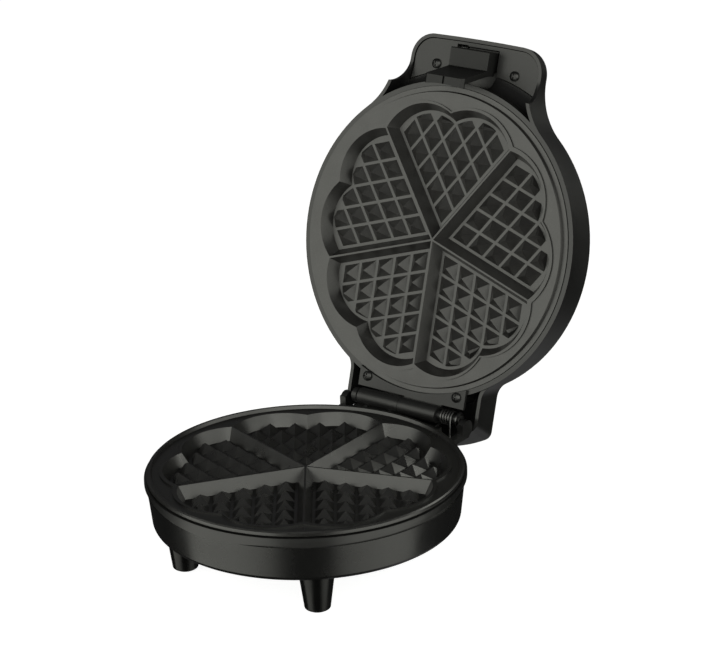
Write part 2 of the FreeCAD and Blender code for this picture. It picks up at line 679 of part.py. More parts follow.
def terminal_block():
    """The block on the pan's floor where the cord's cores are clamped."""
    deep, wide, tall = TERMINAL_BLOCK
    near = TERMINAL_BLOCK_R - deep / 2
    block = box((near, near + deep), (-wide / 2, wide / 2), (PAN_FLOOR, PAN_FLOOR + tall))
    ways = [Part.makeCylinder(TERMINAL_WAY_R, deep, Vector(near, y, PAN_FLOOR + tall / 2), X_AXIS)
            for y in (-wide / 3, wide / 3)]
    hole = disc(SCREW_R + RUNNING_FIT, PAN_FLOOR, PAN_FLOOR + tall, TERMINAL_BLOCK_R)
    return in_wall(block.cut(ways + [hole]))


def terminal_screw():
    tall = TERMINAL_BLOCK[2]
    return in_wall(screw(Vector(TERMINAL_BLOCK_R, 0, PAN_FLOOR + tall), DOWN, tall + PAN_WALL))


def foot(x, y):
    """A tapered foot, rounded at its lower edge, with a socket for its pad below and a screw hole above."""
    socket = PAD_R + RUNNING_FIT
    corners = [(0, PAD_HEIGHT), (socket, PAD_HEIGHT), (socket, PAD_PROUD),
               (FOOT_BOTTOM_R - FOOT_ROUND, PAD_PROUD), (FOOT_BOTTOM_R, PAD_PROUD + FOOT_ROUND),
               (FOOT_TOP_R, FOOT_HEIGHT), (0, FOOT_HEIGHT)]
    at = [Vector(r, 0, z) for r, z in corners]
    bend = Vector(FOOT_BOTTOM_R - FOOT_ROUND, 0, PAD_PROUD + FOOT_ROUND)
    edges = [line(a, b) for a, b in zip(at[:3], at[1:4])]
    edges.append(arc_about(bend, at[3], at[4]))
    edges += [line(a, b) for a, b in zip(at[4:], at[5:] + at[:1])]
    solid = Part.Face(Part.Wire(edges)).revolve(ORIGIN, Z_AXIS, 360)
    solid = solid.cut(disc(SCREW_R + RUNNING_FIT, FOOT_HEIGHT - FOOT_SCREW, FOOT_HEIGHT))
    solid.translate(Vector(x, y, 0))
    return solid


def foot_pads():
    return [disc(PAD_R, 0, PAD_HEIGHT, x, y) for x, y in foot_places().values()]


def foot_screws():
    length = PAN_WALL + FOOT_SCREW - LOOSE_FIT
    return [screw(Vector(x, y, PAN_FLOOR), DOWN, length) for x, y in foot_places().values()]


def catch_lip():
    """The crescent below the ring's flange at the front, which the latch grips."""
    low = PAN_TOP + CATCH_CLEAR
    depth = FLANGE_BOTTOM - low
    bow = (CATCH_HALF_WIDTH ** 2 + depth ** 2) / (2 * depth)
    band = turned([(RING_SEAT_R, low), (RING_R, low), (RING_R, FLANGE_TOP), (RING_SEAT_R, FLANGE_TOP)])
    scoop = Part.makeCylinder(bow, 2 * RING_R, Vector(0, -2 * RING_R, low + bow), Vector(0, 1, 0))
    return band.common(scoop)


def base_ring():
    """The moulded ring on the pan: neck, flange, catch lip, and the platform and cheeks of the hinge."""
    foot_z = PAN_TOP - RING_SPIGOT
    inner = PAN_WALL + LOOSE_FIT
    ring = turned([(RING_BORE_R, foot_z), (pan_radius(foot_z) - inner, foot_z),
                   (pan_radius(PAN_TOP) - inner, PAN_TOP), (RING_NECK_R, PAN_TOP), (RING_NECK_R, FLANGE_BOTTOM),
                   (RING_R, FLANGE_BOTTOM), (RING_R, FLANGE_TOP), (RING_SEAT_R, FLANGE_TOP),
                   (RING_SEAT_R, PLATE_SEAT), (RING_BORE_R, PLATE_SEAT)])
    low = PLATFORM_TOP - PLATFORM_HEIGHT
    rear = HINGE_Y - PLATFORM_REACH
    added = [catch_lip(), box((-EAR_OUTER_X, PLATFORM_RIGHT_X), (0, rear), (low, PLATFORM_TOP))]
    for left in (-EAR_OUTER_X, EAR_OUTER_X - EAR_WIDTH):
        across = (left, left + EAR_WIDTH)
        added.append(box(across, (0, HINGE_Y), (low, PLATFORM_TOP)))
        added.append(box(across, (HINGE_Y - EAR_RISE - BARREL_R, HINGE_Y), (low, HINGE_Z)))
        added.append(rod(BARREL_R, left, left + EAR_WIDTH, HINGE_Y - EAR_RISE, HINGE_Z - BARREL_R + EAR_RISE))
    ring = ring.fuse(added)
    bore = disc(RING_BORE_R, foot_z, FLANGE_TOP)
    holes = [disc(SCREW_R + RUNNING_FIT, low, PLATFORM_TOP, x, STRAP_SCREW_Y) for x in STRAP_SCREW_X]
    return ring.cut([bore] + holes).removeSplitter()


# Hinge
def base_hinge_bracket():
    """The base's half of the hinge: a barrel with a strap tangent below it, screwed to the platform."""
    right = BARREL_SPLIT_X - LOOSE_FIT
    barrel = rod(BARREL_R, BASE_BARREL_LEFT_X, right, HINGE_Y, HINGE_Z)
    level = (PLATFORM_TOP, PLATFORM_TOP + STRAP)
    strap = box((BASE_BARREL_LEFT_X, right), (STRAP_FRONT, HINGE_Y), level)
    holes = [disc(SCREW_R + RUNNING_FIT, *level, x, STRAP_SCREW_Y) for x in STRAP_SCREW_X]
    bore = rod(PIN_R + RUNNING_FIT, BASE_BARREL_LEFT_X, right, HINGE_Y, HINGE_Z)
    return barrel.fuse(strap).cut(holes + [bore])


def base_hinge_screws():
    low = PLATFORM_TOP - PLATFORM_HEIGHT
    length = PLATFORM_HEIGHT + STRAP
    return [screw(Vector(x, STRAP_SCREW_Y, low), Z_AXIS, length) for x in STRAP_SCREW_X]


def lid_hinge_plate():
    """The lid's half of the hinge: a plate cut round the cooking plate, with a barrel at its right."""
    low = LID_RIM - HINGE_PLATE
    rear = HINGE_SCREW_Y + HINGE_PLATE_DEPTH
    plate = box((-HINGE_PLATE_HALF, HINGE_PLATE_HALF), (0, rear), (low, LID_RIM))
    tongue = box((BARREL_SPLIT_X, LID_BARREL_RIGHT_X), (HINGE_SCREW_Y, HINGE_Y), (low, LID_RIM))
    barrel = rod(BARREL_R, BARREL_SPLIT_X, LID_BARREL_RIGHT_X, HINGE_Y, HINGE_Z)
    drill = SCREW_R + RUNNING_FIT
    holes = [disc(drill, low, LID_RIM, side * HINGE_SCREW_X, HINGE_SCREW_Y) for side in (-1, 1)]
    holes.append(disc(UPPER_EDGE_R + EASY_FIT, low, LID_RIM))
    holes.append(rod(PIN_R + RUNNING_FIT, BARREL_SPLIT_X, LID_BARREL_RIGHT_X, HINGE_Y, HINGE_Z))
    return plate.fuse([tongue, barrel]).cut(holes)


def lid_hinge_screws():
    low = LID_RIM - HINGE_PLATE
    return [screw(Vector(side * HINGE_SCREW_X, HINGE_SCREW_Y, low), Z_AXIS, HINGE_PLATE + BOSS_SCREW)
            for side in (-1, 1)]


def hinge_pin():
    head = rod(PIN_HEAD_R, PIN_LEFT_X, PIN_LEFT_X + PIN_HEAD, HINGE_Y, HINGE_Z)
    return rod(PIN_R, PIN_LEFT_X, PIN_RIGHT_X, HINGE_Y, HINGE_Z).fuse(head)


def hinge_pin_clip():
    """The open retaining clip near the pin's right end."""
    left = PIN_RIGHT_X - 2 * CLIP
    clip = rod(CLIP_R, left, left + CLIP, HINGE_Y, HINGE_Z)
    pin = rod(PIN_R + RUNNING_FIT, left, left + CLIP, HINGE_Y, HINGE_Z)
    mouth = box((left, left + CLIP), (HINGE_Y - PIN_R / 2, HINGE_Y + PIN_R / 2), (HINGE_Z - CLIP_R, HINGE_Z))
    return clip.cut([pin, mouth])


def biarc(a, a_way, b, b_way):
    """Two arcs that meet smoothly and join two points with the given directions."""
    span = b.sub(a)
    ways = a_way + b_way
    reach = span.dot(ways)
    room = 2 * (1 - a_way.dot(b_way))
    step = (math.sqrt(reach ** 2 + room * span.dot(span)) - reach) / room
    first = a + a_way * step
    second = b - b_way * step
    meet = (first + second) * 0.5
    edges = []
    for start, corner, end in ((a, first, meet), (meet, second, b)):
        chord = (start + end) * 0.5
        rise = corner.sub(chord)
        half = end.sub(start).Length / 2
        sagitta = half * math.tan(math.atan2(rise.Length, half) / 2)
        rise.normalize()
        edges.append(arc(start, chord + rise * sagitta, end))
    return edges


def torsion_spring(axis_y, axis_z, left, radius, wire_r, pitch, turns, start_deg, legs):
    """A coil about X with a straight leg at each end, drawn as one unbroken wire."""
    def at(share):
        angle = math.radians(start_deg) + 2 * math.pi * turns * share
        out, up = radius * math.cos(angle), radius * math.sin(angle)
        place = Vector(left + pitch * turns * share, axis_y + out, axis_z + up)
        way = Vector(pitch / (2 * math.pi), -up, out)
        way.normalize()
        return place, way
    steps = math.ceil(4 * turns)
    stations = [at(i / steps) for i in range(steps + 1)]
    start, start_way = stations[0]
    end, end_way = stations[-1]
    edges = [line(start - start_way * legs[0], start)]
    for (a, a_way), (b, b_way) in zip(stations, stations[1:]):
        edges += biarc(a, a_way, b, b_way)
    edges.append(line(end, end + end_way * legs[1]))
    circle = Part.Wire(Part.makeCircle(wire_r, start - start_way * legs[0], start_way))
    coil = Part.Wire(edges).makePipeShell([circle], True, False)
    length = sum(edge.Length for edge in edges)
    points = [edge.valueAt(edge.FirstParameter + (edge.LastParameter - edge.FirstParameter) * k / 6)
              for edge in edges for k in range(6)]
    apart = [p.sub(q).Length for i, p in enumerate(points) for q in points[i + 12:]
             if abs(p.x - q.x) > pitch / 2]
    print("spring: turn gap %.2f mm, volume over section times length %.4f"
          % (min(apart) - 2 * wire_r, coil.Volume / (math.pi * wire_r ** 2 * length)))
    return coil


def hinge_spring():
    return torsion_spring(HINGE_Y, HINGE_Z, SPRING_LEFT_X, SPRING_R, SPRING_WIRE_R, SPRING_PITCH,
                          SPRING_TURNS, SPRING_START_DEG, (SPRING_SHORT_LEG, SPRING_LONG_LEG))


# Lid
def lid_radius(z):
    """Outer radius of the lid's drum at a height."""
    return LID_RIM_R + (LID_BACK_R - LID_RIM_R) * (z - LID_RIM) / LID_DEPTH


def wing_wire(z, halves, ends, corner_r, bow_r, flare_r, way, inset):
    """Outline of a wing of the lid at a height: flares out of the drum, rounded corners and a bowed end."""
    share = (z - LID_RIM) / LID_DEPTH
    half = halves[0] + (halves[1] - halves[0]) * share - inset
    end = ends[0] + (ends[1] - ends[0]) * share - inset
    drum = lid_radius(z) - inset
    corner, bow, flare = corner_r - inset, bow_r - inset, flare_r + inset
    flare_y = math.sqrt((drum + flare) ** 2 - (half + flare) ** 2)
    bow_y = end - bow
    corner_y = bow_y + math.sqrt((bow - corner) ** 2 - (half - corner) ** 2)
    scale = bow / (bow - corner)

    def point(x, y):
        return Vector(x, way * y, z)

    def side(sign):
        flare_at = point(sign * (half + flare), flare_y)
        corner_at = point(sign * (half - corner), corner_y)
        root = point(sign * (half + flare) * drum / (drum + flare), flare_y * drum / (drum + flare))
        waist = point(sign * half, flare_y)
        shoulder = point(sign * half, corner_y)
        tip = point(sign * (half - corner) * scale, bow_y + (corner_y - bow_y) * scale)
        edges = [arc_about(flare_at, root, waist), line(waist, shoulder), arc_about(corner_at, shoulder, tip)]
        return edges, root, tip

    right, right_root, right_tip = side(1)
    left, left_root, left_tip = side(-1)
    bow_edge = arc(right_tip, point(0, end), left_tip)
    return Part.Wire(right + [bow_edge] + left[::-1] + [line(left_root, right_root)])


def handle_wire(z, inset=0.0):
    return wing_wire(z, (HANDLE_HALF, HANDLE_HALF - HANDLE_SIDE_DRAFT), (HANDLE_RIM_FRONT, HANDLE_BACK_FRONT),
                     HANDLE_CORNER_R, HANDLE_BOW_R, HANDLE_FLARE_R, -1, inset)


def bulge_wire(z, inset=0.0):
    return wing_wire(z, (BULGE_HALF, BULGE_HALF - BULGE_SIDE_DRAFT), (BULGE_RIM_REAR, BULGE_BACK_REAR),
                     BULGE_CORNER_R, BULGE_BOW_R, BULGE_FLARE_R, 1, inset)


def wing(wire, low, high, inset=0.0):
    return Part.makeLoft([wire(low, inset), wire(high, inset)], True, True)


def handle_sweep():
    """The space below the handle: level under the grip, with a quarter circle down to the drum's rim."""
    drop = HANDLE_RIM - LID_RIM
    start = Vector(0, HANDLE_SWEEP_Y - drop, HANDLE_RIM)
    end = Vector(0, HANDLE_SWEEP_Y, LID_RIM)
    centre = Vector(0, start.y, end.z)
    below = Vector(0, HANDLE_SWEEP_Y, LID_RIM - drop)
    far_low = Vector(0, -2 * HANDLE_RIM_FRONT, below.z)
    far_high = Vector(0, far_low.y, start.z)
    outline = Part.Wire([arc_about(centre, start, end), line(end, below), line(below, far_low),
                         line(far_low, far_high), line(far_high, start)])
    space = Part.Face(outline).extrude(Vector(4 * HANDLE_HALF, 0, 0))
    space.translate(Vector(-2 * HANDLE_HALF, 0, 0))
    return space


def drum():
    """The lid's round body as a plain solid, before it is hollowed."""
    return turned([(0, LID_RIM), (LID_RIM_R, LID_RIM), (LID_BACK_R, LID_BACK), (0, LID_BACK)])


def latch_slot(low, high):
    """The free space round the latch's block between two levels, in the collar and the handle cover."""
    half = LATCH_HALF + LATCH_PLAY
    return box((-half, half), (LATCH_Y - LATCH_PLAY, LATCH_INNER_Y + LATCH_SHELF + LATCH_PLAY), (low, high))


def handle_collar():
    """The concave collar from the drum's rim out to the handle cover, open where the latch swings."""
    low = LID_RIM + COLLAR_START
    top = HANDLE_COVER_BOTTOM
    inner, outer = lid_radius(low), lid_radius(top) + COLLAR_REACH
    start = Vector(inner, 0, low)
    lip = Vector(outer, 0, top)
    bow = Vector(inner + (outer - inner) / 4, 0, low + 3 * (top - low) / 4)
    back = Vector(outer, 0, top + COLLAR_WALL)
    root = Vector(lid_radius(top) - COLLAR_SINK, 0, top + COLLAR_WALL)
    foot_in = Vector(inner - COLLAR_SINK, 0, low)
    outline = Part.Wire([arc(start, bow, lip), line(lip, back), line(back, root), line(root, foot_in),
                         line(foot_in, start)])
    ring = Part.Face(outline).revolve(ORIGIN, Z_AXIS, 360)
    room = wing(handle_wire, LID_RIM, LID_BACK, LID_WALL / 2)
    half = LATCH_HALF + LATCH_PLAY
    slot = box((-half, half), (LATCH_Y - LATCH_PLAY, 0), (LID_RIM, LID_BACK))
    return ring.common(room).cut(slot.cut(drum()))


def lid_shell():
    """The moulded lid: drum, handle tray and hinge bulge in one hollow shell, with bosses and latch lugs."""
    round_body = drum()
    handle = wing(handle_wire, LID_RIM, LID_BACK).cut(handle_sweep())
    bulge = wing(bulge_wire, LID_RIM + BULGE_RIM_LIFT, LID_BACK)
    shell = round_body.fuse([handle, bulge]).removeSplitter()
    back_edges = [edge for edge in shell.Edges if min(v.Z for v in edge.Vertexes) > LID_BACK - RUNNING_FIT]
    shell = shell.makeFillet(LID_BACK_ROUND, back_edges)
    hollows = [wing(handle_wire, LID_RIM, HANDLE_FLOOR, LID_WALL).cut(round_body),
               wing(bulge_wire, LID_RIM, HANDLE_FLOOR, LID_WALL).cut(round_body)]
    mouth_r, ledge_top = UPPER_EDGE_R + LOOSE_FIT, UPPER_SEAT + DRUM_LEDGE
    hollows.append(turned([(0, LID_RIM), (mouth_r, LID_RIM), (mouth_r, UPPER_SEAT), (DRUM_LEDGE_R, UPPER_SEAT),
                           (DRUM_LEDGE_R, ledge_top), (DRUM_BORE_R, ledge_top), (DRUM_BORE_R, WEB_BOTTOM),
                           (0, WEB_BOTTOM)]))
    hollows.append(disc(COVER_R + LOOSE_FIT, WEB_TOP, LID_BACK))
    hollows += around(disc(SCREW_R + RUNNING_FIT, WEB_BOTTOM, WEB_TOP, POST_CIRCLE_R), POSTS, 90.0)
    shell = shell.cut(hollows)
    bosses = [disc(BOSS_R, LID_RIM, LID_RIM + BOSS_SCREW + LID_WALL, side * HINGE_SCREW_X, HINGE_SCREW_Y)
              .cut(disc(UPPER_EDGE_R + EASY_FIT, LID_RIM, LID_BACK)) for side in (-1, 1)]
    root = HANDLE_FLOOR + LID_WALL / 2
    bosses += [disc(BOSS_R, HANDLE_COVER_TOP, root, side * HANDLE_SCREW_X, HANDLE_SCREW_Y) for side in (-1, 1)]
    lug_y = (LATCH_Y - LATCH_BARREL_R, LATCH_Y + LATCH_BARREL_R)
    for left in latch_lugs():
        bosses.append(box((left, left + LATCH_LUG), lug_y, (HANDLE_COVER_TOP + LOOSE_FIT, root)))
    shell = shell.fuse(bosses + [handle_collar()])
    drill = SCREW_R + RUNNING_FIT
    hinge_level = (LID_RIM, LID_RIM + BOSS_SCREW)
    handle_level = (HANDLE_COVER_TOP, HANDLE_COVER_TOP + HANDLE_SCREW)
    holes = [disc(drill, *hinge_level, side * HINGE_SCREW_X, HINGE_SCREW_Y) for side in (-1, 1)]
    holes += [disc(drill, *handle_level, side * HANDLE_SCREW_X, HANDLE_SCREW_Y) for side in (-1, 1)]
    ends = latch_lugs()
    holes.append(rod(LATCH_PIN_R + RUNNING_FIT, ends[0], ends[1] + LATCH_LUG, LATCH_Y, LATCH_Z))
    return shell.cut(holes).removeSplitter()


def dome_top(r):
    """Height of the lid cover's outer face at a distance from the middle."""
    sphere = (COVER_R ** 2 + COVER_DOME ** 2) / (2 * COVER_DOME)
    return WEB_TOP + COVER_EDGE + COVER_DOME - sphere + math.sqrt(sphere ** 2 - r ** 2)


def lens_places():
    return (-LENS_X, LENS_Y), (LENS_X, LENS_Y)


def lid_top_cover():
    """The domed cover of the lid, standing on a low edge, with holes for two lamps."""
    inner_r = COVER_R - COVER_EDGE

    def dome(r, drop):
        return Vector(r, 0, dome_top(r) - drop)

    edge = Vector(COVER_R, 0, WEB_TOP)
    inside = Vector(inner_r, 0, WEB_TOP)
    roof = [dome(0, 0), dome(COVER_R / 2, 0), dome(COVER_R, 0)]
    under = [dome(inner_r, COVER_SHEET), dome(inner_r / 2, COVER_SHEET), dome(0, COVER_SHEET)]
    outline = Part.Wire([arc(*roof), line(roof[2], edge), line(edge, inside), line(inside, under[0]),
                         arc(*under), line(under[2], roof[0])])
    cover = Part.Face(outline).revolve(ORIGIN, Z_AXIS, 360)
    through = (WEB_TOP, LID_BACK + COVER_DOME)
    return cover.cut([disc(LENS_R + LOOSE_FIT, *through, x, y) for x, y in lens_places()])


def lamp_holder():
    """The plinth on the lid's web that carries the two lamps."""
    reach = LENS_X + 2 * LENS_R
    return box((-reach, reach), (LENS_Y - 2 * LENS_R, LENS_Y + 2 * LENS_R), (WEB_TOP, WEB_TOP + LAMP_HOLDER))


def lens(x, y):
    """A round-topped lens that stands on the lamp holder and shows through the cover."""
    top = dome_top(math.hypot(x, y)) + LENS_PROUD
    sphere = (LENS_R ** 2 + LENS_PROUD ** 2) / (2 * LENS_PROUD)
    crown = Part.makeSphere(sphere, Vector(x, y, top - sphere))
    return disc(LENS_R, WEB_TOP + LAMP_HOLDER, top - LENS_PROUD, x, y).fuse(
        disc(LENS_R, top - LENS_PROUD, top, x, y).common(crown)).removeSplitter()


def handle_cover():
    """The flat cover sunk in the handle tray, cut round the drum and open for the latch and its spring."""
    inset = LID_WALL + EASY_FIT
    plate = Part.Face(handle_wire(HANDLE_COVER_BOTTOM, inset)).extrude(Vector(0, 0, HANDLE_COVER))
    level = (HANDLE_COVER_BOTTOM, HANDLE_COVER_TOP)
    cuts = [disc(lid_radius(HANDLE_COVER_BOTTOM) + COLLAR_REACH + EASY_FIT, *level), latch_slot(*level),
            box((-LATCH_HALF - LATCH_PLAY, LATCH_BARREL_LEFT_X), (LATCH_Y - LATCH_SPRING_R, LATCH_Y), level)]
    cuts += [disc(SCREW_R + RUNNING_FIT, *level, side * HANDLE_SCREW_X, HANDLE_SCREW_Y) for side in (-1, 1)]
    return plate.cut(cuts)


def handle_cover_screws():
    length = HANDLE_COVER + HANDLE_SCREW - LOOSE_FIT
    return [screw(Vector(side * HANDLE_SCREW_X, HANDLE_SCREW_Y, HANDLE_COVER_BOTTOM), Z_AXIS, length)
            for side in (-1, 1)]


# Latch
def latch_lugs():
    """Left edges of the two lugs that hold the latch's pin."""
    return -LATCH_HALF - LATCH_LUG - 4 * EASY_FIT, LATCH_HALF + EASY_FIT


def latch_pin():
    ends = latch_lugs()
    return rod(LATCH_PIN_R, ends[0], ends[1] + LATCH_LUG, LATCH_Y, LATCH_Z)


def hook_bevel(x, way, z):
    """The wedge that bevels one lower end of the hook."""
    corners = [Vector(x, 0, z), Vector(x + way * HOOK_BEVEL, 0, z), Vector(x, 0, z + HOOK_BEVEL)]
    return Part.Face(Part.makePolygon(corners + corners[:1])).extrude(Vector(0, LATCH_INNER_Y, 0))


def latch_hook():
    """The swinging catch: a thumb block, a shelf reaching past the rim, and a hook curved to the ring."""
    block_bottom = HANDLE_COVER_BOTTOM - LATCH_DROP
    block_top = HANDLE_COVER_BOTTOM - EASY_FIT
    hook_top = PAN_TOP - HOOK_DROP
    hook_bottom = hook_top - HOOK_HEIGHT
    inner = LATCH_INNER_Y + LATCH_SHELF
    side = [(LATCH_Y, block_bottom), (LATCH_INNER_Y, block_bottom), (LATCH_SHELF_Y, hook_bottom),
            (-RING_NECK_R, hook_bottom), (-RING_NECK_R, hook_top), (LATCH_SHELF_Y + LATCH_SHELF, hook_top),
            (inner, block_bottom + LATCH_SHELF), (inner, block_top), (LATCH_Y, block_top)]
    corners = [Vector(-LATCH_HALF, y, z) for y, z in side]
    solid = Part.Face(Part.makePolygon(corners + corners[:1])).extrude(Vector(2 * LATCH_HALF, 0, 0))
    block_edges = [edge for edge in solid.Edges if edge.BoundBox.ZMax < block_bottom + RUNNING_FIT
                   and edge.BoundBox.ZMin > block_bottom - RUNNING_FIT and edge.BoundBox.XLength > LATCH_HALF]
    solid = solid.makeFillet(LATCH_ROUND, block_edges)
    arm = box((LATCH_BARREL_LEFT_X, LATCH_HALF), (LATCH_Y, LATCH_INNER_Y), (block_top, LATCH_Z))
    barrel = rod(LATCH_BARREL_R, LATCH_BARREL_LEFT_X, LATCH_HALF, LATCH_Y, LATCH_Z)
    solid = solid.fuse([arm, barrel])
    mouth = disc(RING_R + HOOK_CLEAR, hook_bottom, hook_top)
    bevels = [hook_bevel(sign * LATCH_HALF, -sign, hook_bottom) for sign in (-1, 1)]
    groove = box((-HOOK_GROOVE / 2, HOOK_GROOVE / 2), (-RING_R - 2 * LATCH_SHELF_REACH, -RING_NECK_R),
                 (hook_bottom, hook_bottom + HOOK_GROOVE))
    pin_hole = rod(LATCH_PIN_R + RUNNING_FIT, LATCH_BARREL_LEFT_X, LATCH_HALF, LATCH_Y, LATCH_Z)
    return solid.cut([mouth, groove, pin_hole] + bevels)


def latch_spring():
    left = -LATCH_HALF
    return torsion_spring(LATCH_Y, LATCH_Z, left, LATCH_SPRING_R, LATCH_SPRING_WIRE_R, LATCH_SPRING_PITCH,
                          LATCH_SPRING_TURNS, 90.0, (LATCH_SPRING_LEG, LATCH_SPRING_LEG))


def base_pieces():
    """Every piece that stays still, by name."""
    pan_screw = screw(Vector(POST_CIRCLE_R, 0, FOOT_HEIGHT), Z_AXIS, PLATE_SCREW)
    pieces = {
        "base_pan": base_pan(),
        "base_ring": base_ring(),
        "lower_plate": in_base(cooking_plate(lower_edge(), LOWER_POST)),
        "lower_heating_element": in_base(heating_element()),
        "lower_reflector": in_base(reflector()),
        "lower_spacers": [in_base(s) for s in spacers(PAN_FLOOR - RIDGE_Z)],
        "lower_plate_screws": around(pan_screw, POSTS, 90.0),
        "thermostat": in_base(thermostat()),
        "thermostat_screws": [in_base(s) for s in thermostat_screws()],
        "thermal_fuse": in_base(thermal_fuse()),
        "terminal_block": terminal_block(),
        "terminal_screw": terminal_screw(),
        "cord_inlet": cord_inlet(),
        "foot_pads": foot_pads(),
        "foot_screws": foot_screws(),
        "base_hinge_bracket": base_hinge_bracket(),
        "base_hinge_screws": base_hinge_screws(),
        "hinge_pin": hinge_pin(),
        "hinge_pin_clip": hinge_pin_clip(),
        "hinge_spring": hinge_spring(),
    }
    for name, (x, y) in foot_places().items():
        pieces[name] = foot(x, y)
    return pieces


def lid_pieces():
    """Every piece that swings with the lid, shut, by name."""
    red, green = lens_places()
    web_screw = screw(Vector(POST_CIRCLE_R, 0, WEB_TOP), DOWN, LID_WEB + UPPER_POST)
    return {
        "lid_shell": lid_shell(),
        "lid_top_cover": lid_top_cover(),
        "upper_plate": in_lid(cooking_plate(upper_edge(), UPPER_POST)),
        "upper_heating_element": in_lid(heating_element()),
        "upper_reflector": in_lid(reflector()),
        "upper_spacers": [in_lid(s) for s in spacers(UPPER_RIDGE_Z - WEB_BOTTOM)],
        "upper_plate_screws": around(web_screw, POSTS, 90.0),
        "lamp_holder": lamp_holder(),
        "indicator_lens_red": lens(*red),
        "indicator_lens_green": lens(*green),
        "lid_hinge_plate": lid_hinge_plate(),
        "lid_hinge_screws": lid_hinge_screws(),
        "handle_cover": handle_cover(),
        "handle_cover_screws": handle_cover_screws(),
        "latch_pin": latch_pin(),
        "latch_spring": latch_spring(),
        "latch_hook": latch_hook(),
    }


def solids_of(piece):
    """One shape holding a piece's solids, whether it is one solid or a group."""
    if isinstance(piece, list):
        return Part.makeCompound([solid for shape in piece for solid in shape.Solids])
    return piece.Solids[0] if len(piece.Solids) == 1 else piece


def main():
    hinge = Vector(0, HINGE_Y, HINGE_Z)
    latch = Vector(0, LATCH_Y, LATCH_Z)
    opening = FreeCAD.Rotation(X_AXIS, -OPEN_ANGLE_DEG)
    shapes = {name: solids_of(piece) for name, piece in base_pieces().items()}
    for name, piece in lid_pieces().items():
        shape = solids_of(piece)
        shape.rotate(hinge, X_AXIS, -OPEN_ANGLE_DEG)
        shapes[name] = shape
    whole = Part.makeCompound(list(shapes.values())).optimalBoundingBox(False)
    shift = Vector(0, -whole.Center.y, 0)
    os.makedirs("parts", exist_ok=True)
    for name, shape in sorted(shapes.items()):
        shape.translate(shift)
        count = len(shape.Solids)
        print("%-24s solids %d valid %s volume %.1f" % (name, count, shape.isValid(), shape.Volume))
        shape.exportStep("parts/%s.step" % name)
    latch_open = hinge + opening.multVec(latch - hinge)
    print("overall", whole.XLength, whole.YLength, whole.ZLength, "shift", shift.y)
    print("lid hinge", hinge + shift, "latch pivot", latch_open + shift)


main()
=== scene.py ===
"""Looks for the heart waffle maker: materials, spring wires, a pale studio and the photograph's camera."""

import json
import math

import bpy
from mathutils import Matrix, Vector


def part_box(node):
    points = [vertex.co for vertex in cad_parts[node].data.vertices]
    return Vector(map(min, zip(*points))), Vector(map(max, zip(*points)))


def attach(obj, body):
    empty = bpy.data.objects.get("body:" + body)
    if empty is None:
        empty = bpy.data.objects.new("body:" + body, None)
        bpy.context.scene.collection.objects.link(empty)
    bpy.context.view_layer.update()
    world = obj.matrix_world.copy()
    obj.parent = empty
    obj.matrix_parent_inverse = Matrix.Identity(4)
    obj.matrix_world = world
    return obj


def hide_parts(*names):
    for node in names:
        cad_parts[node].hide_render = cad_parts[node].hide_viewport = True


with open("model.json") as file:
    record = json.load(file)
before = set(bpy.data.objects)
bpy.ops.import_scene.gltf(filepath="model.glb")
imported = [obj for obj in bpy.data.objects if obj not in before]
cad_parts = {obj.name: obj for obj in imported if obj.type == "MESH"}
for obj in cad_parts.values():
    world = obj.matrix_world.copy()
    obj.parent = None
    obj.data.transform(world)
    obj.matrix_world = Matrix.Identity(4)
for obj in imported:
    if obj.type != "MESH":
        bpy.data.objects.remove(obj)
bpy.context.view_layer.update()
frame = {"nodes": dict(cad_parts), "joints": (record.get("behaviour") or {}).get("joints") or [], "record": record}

MM = 0.001
WHITE = (1, 1, 1, 1)

# Camera, as fitted to the photograph. Angles in degrees, lengths in metres.
IMAGE_WIDTH_PX = 722
FOCAL_PX = 2782.89
SENSOR_MM = 36.0
CAMERA_AZIMUTH = 36.26
CAMERA_ELEVATION = 20.9
CAMERA_ROLL = -1.43
CAMERA_DISTANCE = 1.71572
CAMERA_REACH = 20
TARGET_RIGHT = 0.03701
TARGET_HEIGHT = 0.152


def middle(node):
    low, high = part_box(node)
    return (low + high) / 2


def add_camera():
    """Aims a camera at a point beside the base's axis, from the photograph's direction."""
    angles = (CAMERA_AZIMUTH, CAMERA_ELEVATION, CAMERA_ROLL)
    azimuth, elevation, roll = (math.radians(angle) for angle in angles)
    axis = middle("base_pan")
    right = Vector((math.cos(azimuth), math.sin(azimuth), 0))
    level = math.cos(elevation)
    back = Vector((math.sin(azimuth) * level, -math.cos(azimuth) * level, math.sin(elevation)))
    up = back.cross(right)
    target = Vector((axis.x, axis.y, TARGET_HEIGHT)) + right * TARGET_RIGHT
    rolled_right = right * math.cos(roll) + up * math.sin(roll)
    rolled_up = up * math.cos(roll) - right * math.sin(roll)
    data = bpy.data.cameras.new("camera")
    data.sensor_width = SENSOR_MM
    data.sensor_fit = "HORIZONTAL"
    data.lens = FOCAL_PX / IMAGE_WIDTH_PX * SENSOR_MM
    data.clip_end = CAMERA_REACH
    camera = bpy.data.objects.new("camera", data)
    turn = Matrix((rolled_right, rolled_up, back)).transposed().to_4x4()
    camera.matrix_world = Matrix.Translation(target + back * CAMERA_DISTANCE) @ turn
    bpy.context.scene.collection.objects.link(camera)
    bpy.context.scene.camera = camera


